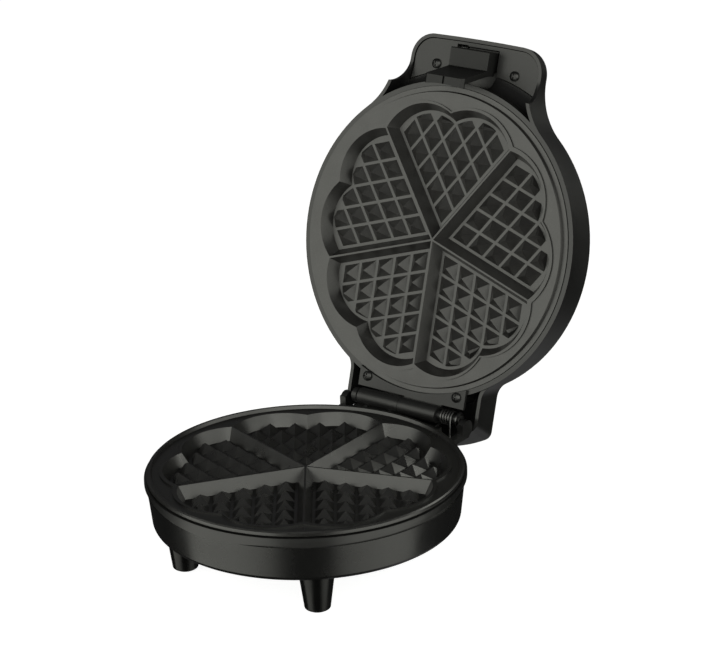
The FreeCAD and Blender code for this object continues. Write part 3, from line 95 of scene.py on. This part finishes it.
# Materials. Sizes and depths of the grain are in metres. A tone is a place on the noise and a share of the
# material's grey level there, and a sheen is how far the roughness goes down and up.
PLAIN_SHINE = 0.5
SATIN_SHINE = 1.0
NOISE_LOW = 0.3
NOISE_HIGH = 0.7
PLASTIC_CLOUD = 35 * MM
PLASTIC_GRAIN = 0.5 * MM
PLASTIC_DEPTH = 0.02 * MM
PLASTIC_TONES = ((0.3, 0.9), (0.7, 1.12))
PLASTIC_SHEEN = (-0.04, 0.05)
COATING_CLOUD = 12 * MM
COATING_FLECK = 0.9 * MM
COATING_PEBBLE = 0.55 * MM
COATING_DEPTH = 0.012 * MM
COATING_TONES = ((0.35, 0.75), (0.6, 1.0), (0.78, 1.8))
COATING_SHEEN = (-0.04, 0.05)
METAL_STAIN = 9 * MM
METAL_STREAK = 0.6 * MM
METAL_DEPTH = 0.006 * MM
METAL_TONES = ((0.3, 0.8), (0.7, 1.0))
METAL_SHEEN = (-0.06, 0.1)
ENAMEL_CLOUD = 25 * MM
ENAMEL_FLAKE = 0.35 * MM
ENAMEL_PEEL = 1.1 * MM
ENAMEL_DEPTH = 0.004 * MM
ENAMEL_TONES = ((0.3, 0.8), (0.62, 1.0), (0.75, 1.8))
ENAMEL_SHEEN = (-0.02, 0.04)
LENS_GRAIN = 1.5 * MM
LENS_ROUGHNESS = 0.12
LENS_SHEEN = (-0.04, 0.08)
LENS_CLEARNESS = 0.35


def new_material(name, colour, roughness, metallic=0.0, shine=PLAIN_SHINE):
    """A principled material with its constants set on the shader's own sockets."""
    material = bpy.data.materials.new(name)
    material.use_nodes = True
    shader = material.node_tree.nodes["Principled BSDF"]
    shader.inputs["Base Color"].default_value = (*colour, 1)
    shader.inputs["Roughness"].default_value = roughness
    shader.inputs["Metallic"].default_value = metallic
    shader.inputs["Specular IOR Level"].default_value = shine
    return material, shader


def grey(level, warmth=0.0):
    return (level * (1 + warmth), level, level * (1 - warmth))


def noise(material, feature, detail):
    """Noise in the object's own coordinates, with features of a given size."""
    nodes = material.node_tree.nodes
    place = nodes.new("ShaderNodeTexCoord")
    texture = nodes.new("ShaderNodeTexNoise")
    texture.inputs["Scale"].default_value = 1 / feature
    texture.inputs["Detail"].default_value = detail
    material.node_tree.links.new(place.outputs["Object"], texture.inputs["Vector"])
    return texture.outputs["Fac"]


def vary_colour(material, shader, value, level, tones, warmth=0.0):
    """Colours the shader by a noise value, through two or more tones of a grey level."""
    ramp = material.node_tree.nodes.new("ShaderNodeValToRGB")
    stops = ramp.color_ramp.elements
    while len(stops) < len(tones):
        stops.new(0.5)
    for stop, (place, share) in zip(stops, tones):
        stop.position = place
        stop.color = (*grey(level * share, warmth), 1)
    material.node_tree.links.new(value, ramp.inputs["Fac"])
    material.node_tree.links.new(ramp.outputs["Color"], shader.inputs["Base Color"])


def vary_sheen(material, shader, value, roughness, sheen):
    """Spreads the shader's roughness by a noise value."""
    node = material.node_tree.nodes.new("ShaderNodeMapRange")
    node.inputs["From Min"].default_value = NOISE_LOW
    node.inputs["From Max"].default_value = NOISE_HIGH
    node.inputs["To Min"].default_value = roughness + sheen[0]
    node.inputs["To Max"].default_value = roughness + sheen[1]
    material.node_tree.links.new(value, node.inputs["Value"])
    material.node_tree.links.new(node.outputs["Result"], shader.inputs["Roughness"])


def add_relief(material, shader, height, depth):
    """Relief on the shader's normal."""
    node = material.node_tree.nodes.new("ShaderNodeBump")
    node.inputs["Distance"].default_value = depth
    node.inputs["Strength"].default_value = 1.0
    material.node_tree.links.new(height, node.inputs["Height"])
    material.node_tree.links.new(node.outputs["Normal"], shader.inputs["Normal"])


def moulded_plastic(name, level, roughness, grain=PLASTIC_GRAIN, depth=PLASTIC_DEPTH, shine=PLAIN_SHINE):
    """Moulded plastic: a fine spark-eroded grain, with soft changes of sheen."""
    material, shader = new_material(name, grey(level), roughness, shine=shine)
    cloud = noise(material, PLASTIC_CLOUD, 3)
    vary_colour(material, shader, cloud, level, PLASTIC_TONES)
    vary_sheen(material, shader, cloud, roughness, PLASTIC_SHEEN)
    add_relief(material, shader, noise(material, grain, 2), depth)
    return material


def nonstick(name, level, roughness, warmth):
    """Sprayed non-stick coating: a pebbled film with fine pale flecks and soft changes of sheen."""
    material, shader = new_material(name, grey(level, warmth), roughness, shine=SATIN_SHINE)
    vary_colour(material, shader, noise(material, COATING_FLECK, 4), level, COATING_TONES, warmth)
    vary_sheen(material, shader, noise(material, COATING_CLOUD, 3), roughness, COATING_SHEEN)
    add_relief(material, shader, noise(material, COATING_PEBBLE, 3), COATING_DEPTH)
    return material


def metal(name, level, roughness, warmth=0.0):
    """Bare or plated steel or aluminium, with fine changes of sheen and a little staining."""
    material, shader = new_material(name, grey(level, warmth), roughness, 1.0)
    streak = noise(material, METAL_STREAK, 3)
    vary_colour(material, shader, noise(material, METAL_STAIN, 4), level, METAL_TONES, warmth)
    vary_sheen(material, shader, streak, roughness, METAL_SHEEN)
    add_relief(material, shader, streak, METAL_DEPTH)
    return material


def enamel(name, level, roughness, shine):
    """Satin enamel on pressed metal: dark pigment with fine flake, and a faint orange peel."""
    material, shader = new_material(name, grey(level), roughness, shine=shine)
    vary_colour(material, shader, noise(material, ENAMEL_FLAKE, 1), level, ENAMEL_TONES)
    vary_sheen(material, shader, noise(material, ENAMEL_CLOUD, 3), roughness, ENAMEL_SHEEN)
    add_relief(material, shader, noise(material, ENAMEL_PEEL, 2), ENAMEL_DEPTH)
    return material


def clear_plastic(name, colour):
    """A tinted lens: saturated, glossy and slightly see-through."""
    material, shader = new_material(name, colour, LENS_ROUGHNESS)
    shader.inputs["Transmission Weight"].default_value = LENS_CLEARNESS
    vary_sheen(material, shader, noise(material, LENS_GRAIN, 2), LENS_ROUGHNESS, LENS_SHEEN)
    return material


MATERIALS = {
    "pan_enamel": enamel("pan_enamel", 0.006, 0.25, 0.8),
    "housing": moulded_plastic("housing", 0.008, 0.34, shine=0.8),
    # The two plate coatings are one coating: the upper copy is painted lighter and the lower copy darker, as
    # painted light and painted shade.
    "upper_coating_painted_light": nonstick("upper_coating_painted_light", 0.022, 0.32, 0.03),
    "lower_coating_painted_shade": nonstick("lower_coating_painted_shade", 0.012, 0.3, 0.02),
    "element_steel": metal("element_steel", 0.32, 0.42, warmth=0.04),
    "bare_aluminium": metal("bare_aluminium", 0.72, 0.35),
    "screw_steel": metal("screw_steel", 0.5, 0.3),
    "screw_dark": metal("screw_dark", 0.075, 0.34),
    "control_body": moulded_plastic("control_body", 0.4, 0.55),
    "terminal_plastic": moulded_plastic("terminal_plastic", 0.6, 0.5),
    "grommet": moulded_plastic("grommet", 0.018, 0.72, 0.8 * MM, 0.05 * MM),
    "foot_plastic": moulded_plastic("foot_plastic", 0.004, 0.18, 1.2 * MM, 0.003 * MM, 0.35),
    "hinge_steel": enamel("hinge_steel", 0.012, 0.4, 0.7),
    "spring_wire": metal("spring_wire", 0.15, 0.32),
    "latch_wire": metal("latch_wire", 0.1, 0.3),
    "lens_red": clear_plastic("lens_red", (0.5, 0.02, 0.015)),
    "lens_green": clear_plastic("lens_green", (0.02, 0.38, 0.06)),
    "handle_plastic": moulded_plastic("handle_plastic", 0.011, 0.38, 0.7 * MM, shine=0.72),
    "latch_plastic": moulded_plastic("latch_plastic", 0.008, 0.38, shine=0.38),
    "cover_plastic": moulded_plastic("cover_plastic", 0.03, 0.42, 0.7 * MM, shine=0.8),
}
# Nodes whose finish differs from the one of their slot. Both plates have one and the same coating: the lid's plate
# gets a lighter copy as painted light, and the base's plate a darker copy as painted shade.
OWN_FINISHES = {
    "upper_plate": "upper_coating_painted_light",
    "lower_plate": "lower_coating_painted_shade",
    "lid_top_cover": "cover_plastic",
}


def dress_nodes():
    """Gives every CAD node its own finish, or else the one of its slot."""
    slots = {part["node"]: part["material_slot"] for part in frame["record"]["subparts"]}
    for name, node in frame["nodes"].items():
        node.data.materials.clear()
        node.data.materials.append(MATERIALS[OWN_FINISHES.get(name, slots[name])])


# The lid's cover shows a dark blot at the middle of its dome unless it is welded and shaded from its faces.
COVER_WELD = 0.001 * MM
COVER_SHARP_DEG = 30.0


def shade_cover():
    """Takes the cover's shading from its faces, and keeps its edges sharp."""
    cover = frame["nodes"]["lid_top_cover"]
    cover.modifiers.new("weld", "WELD").merge_threshold = COVER_WELD
    cover.modifiers.new("edges", "EDGE_SPLIT").split_angle = math.radians(COVER_SHARP_DEG)
    cover.modifiers.new("normals", "WEIGHTED_NORMAL")


# Springs: the same coils as the solids, in round wire. Lengths in millimetres, angles in degrees.
COIL_STEPS = 40
WIRE_ROUNDNESS = 5
SPRINGS = {
    "hinge_spring": {
        "body": "base", "joint": "lid_hinge", "finish": "spring_wire", "wire": 0.65,
        "left": 28.0, "radius": 4.4, "pitch": 2.0, "turns": 4.7, "start": -85.0, "legs": (8.0, 14.0),
    },
    "latch_spring": {
        "body": "lid", "joint": "latch_pivot", "finish": "latch_wire", "wire": 0.4,
        "left": -15.0, "radius": 2.15, "pitch": 1.3, "turns": 4.43, "start": -16.6, "legs": (5.0, 5.0),
    },
}


def coil_points(axis, spec):
    """The wire's middle line: a straight leg, a coil about an axis along X, and a second straight leg."""
    steps = round(COIL_STEPS * spec["turns"])
    points, ways = [], []
    for step in range(steps + 1):
        share = step / steps
        angle = math.radians(spec["start"] + 360 * spec["turns"] * share)
        out, up = spec["radius"] * math.cos(angle), spec["radius"] * math.sin(angle)
        along = spec["left"] + spec["pitch"] * spec["turns"] * share
        points.append(Vector((along * MM, axis.y + out * MM, axis.z + up * MM)))
        ways.append(Vector((spec["pitch"] / math.tau, -up, out)).normalized())
    first, last = spec["legs"]
    return [points[0] - ways[0] * first * MM] + points + [points[-1] + ways[-1] * last * MM]


def add_spring(node, spec):
    """Draws a spring's wire about its joint's axis, in place of the spring's solid."""
    joint = next(j for j in frame["joints"] if j["name"] == spec["joint"])
    points = coil_points(Vector(joint["pos_m"]), spec)
    data = bpy.data.curves.new(node + "_wire", "CURVE")
    data.dimensions = "3D"
    data.bevel_depth = spec["wire"] * MM
    data.bevel_resolution = WIRE_ROUNDNESS
    data.use_fill_caps = True
    spline = data.splines.new("POLY")
    spline.points.add(len(points) - 1)
    for knot, point in zip(spline.points, points):
        knot.co = (*point, 1)
    data.materials.append(MATERIALS[spec["finish"]])
    wire = bpy.data.objects.new(node + "_wire", data)
    bpy.context.scene.collection.objects.link(wire)
    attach(wire, spec["body"])
    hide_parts(node)


# Studio. Lights are placed by compass direction from the front, in degrees. Lengths are in metres.
FLOOR_HALF = 8.0
FLOOR_LEVEL = 0.5
FLOOR_ROUGHNESS = 0.4
FLOOR_GLOW = 0.92
LIGHTS = {
    "left_light": {"azimuth": -22.0, "distance": 2.0, "height": 0.13, "size": (3.1, 3.6), "power": 43.0},
    "front_light": {"azimuth": 36.0, "distance": 2.0, "height": 1.1, "size": (1.6, 1.8), "power": 15.0},
    "right_light": {"azimuth": 90.0, "distance": 2.0, "height": 0.13, "size": (2.7, 3.6), "power": 33.0},
    "rear_light": {"azimuth": 140.0, "distance": 2.2, "height": 1.1, "size": (1.2, 1.2), "power": 9.0},
}
LIGHT_COLOUR = (0.99, 1.0, 0.91)
LIGHT_AIM = Vector((0, 0, 0.13))

# Brightness of the room, and the directions between which it fades, as parts of a unit vector.
ROOM_ABOVE = 0.06
ROOM_BELOW_FRONT = 0.01
ROOM_BELOW_REAR = 0.25
HORIZON_FADE = (-0.15, 0.15)
LOW_FADE = (-0.8, -0.5)
REAR_FADE = (0.1, 0.7)


def add_floor():
    """A pale floor. It doesn't show in the part's reflections, where the room and the lights do."""
    mesh = bpy.data.meshes.new("floor")
    corners = [(x * FLOOR_HALF, y * FLOOR_HALF, 0) for x, y in ((-1, -1), (1, -1), (1, 1), (-1, 1))]
    mesh.from_pydata(corners, [], [(0, 1, 2, 3)])
    floor = bpy.data.objects.new("floor", mesh)
    bpy.context.scene.collection.objects.link(floor)
    material, shader = new_material("floor_card", grey(FLOOR_LEVEL), FLOOR_ROUGHNESS)
    shader.inputs["Emission Color"].default_value = WHITE
    shader.inputs["Emission Strength"].default_value = FLOOR_GLOW
    mesh.materials.append(material)
    floor.visible_glossy = False
    floor.visible_diffuse = False
    floor.visible_shadow = False


def add_softbox(name, spec):
    """A rectangular light that points at the part and isn't seen by the camera."""
    data = bpy.data.lights.new(name, "AREA")
    data.shape = "RECTANGLE"
    data.size, data.size_y = spec["size"]
    data.energy = spec["power"]
    data.color = LIGHT_COLOUR
    light = bpy.data.objects.new(name, data)
    azimuth, distance = math.radians(spec["azimuth"]), spec["distance"]
    light.location = (distance * math.sin(azimuth), -distance * math.cos(azimuth), spec["height"])
    light.rotation_euler = (LIGHT_AIM - light.location).to_track_quat("-Z", "Y").to_euler()
    light.visible_camera = False
    bpy.context.scene.collection.objects.link(light)


def room_level(world):
    """The room's brightness: dim above the horizon, dark below it, and paler low down behind the part."""
    nodes, links = world.node_tree.nodes, world.node_tree.links

    def between(value, fade, low, high):
        node = nodes.new("ShaderNodeMapRange")
        node.interpolation_type = "SMOOTHSTEP"
        node.inputs["From Min"].default_value, node.inputs["From Max"].default_value = fade
        for name, level in (("To Min", low), ("To Max", high)):
            if isinstance(level, float):
                node.inputs[name].default_value = level
            else:
                links.new(level, node.inputs[name])
        links.new(value, node.inputs["Value"])
        return node.outputs["Result"]

    place = nodes.new("ShaderNodeTexCoord")
    split = nodes.new("ShaderNodeSeparateXYZ")
    links.new(place.outputs["Generated"], split.inputs["Vector"])
    behind = between(split.outputs["Y"], REAR_FADE, ROOM_BELOW_FRONT, ROOM_BELOW_REAR)
    below = between(split.outputs["Z"], LOW_FADE, behind, ROOM_BELOW_FRONT)
    return between(split.outputs["Z"], HORIZON_FADE, below, ROOM_ABOVE)


def add_room():
    """A white room to the camera, and a dim one in reflections."""
    world = bpy.data.worlds.new("studio")
    world.use_nodes = True
    nodes, links = world.node_tree.nodes, world.node_tree.links
    dim = nodes["Background"]
    dim.inputs["Color"].default_value = WHITE
    links.new(room_level(world), dim.inputs["Strength"])
    white = nodes.new("ShaderNodeBackground")
    white.inputs["Color"].default_value = WHITE
    rays = nodes.new("ShaderNodeLightPath")
    mix = nodes.new("ShaderNodeMixShader")
    links.new(rays.outputs["Is Camera Ray"], mix.inputs["Fac"])
    links.new(dim.outputs["Background"], mix.inputs[1])
    links.new(white.outputs["Background"], mix.inputs[2])
    links.new(mix.outputs["Shader"], nodes["World Output"].inputs["Surface"])
    bpy.context.scene.world = world


add_camera()
dress_nodes()
shade_cover()
for node, spec in SPRINGS.items():
    add_spring(node, spec)
add_floor()
add_room()
for name, spec in LIGHTS.items():
    add_softbox(name, spec)
bpy.context.scene.view_settings.view_transform = "Standard"
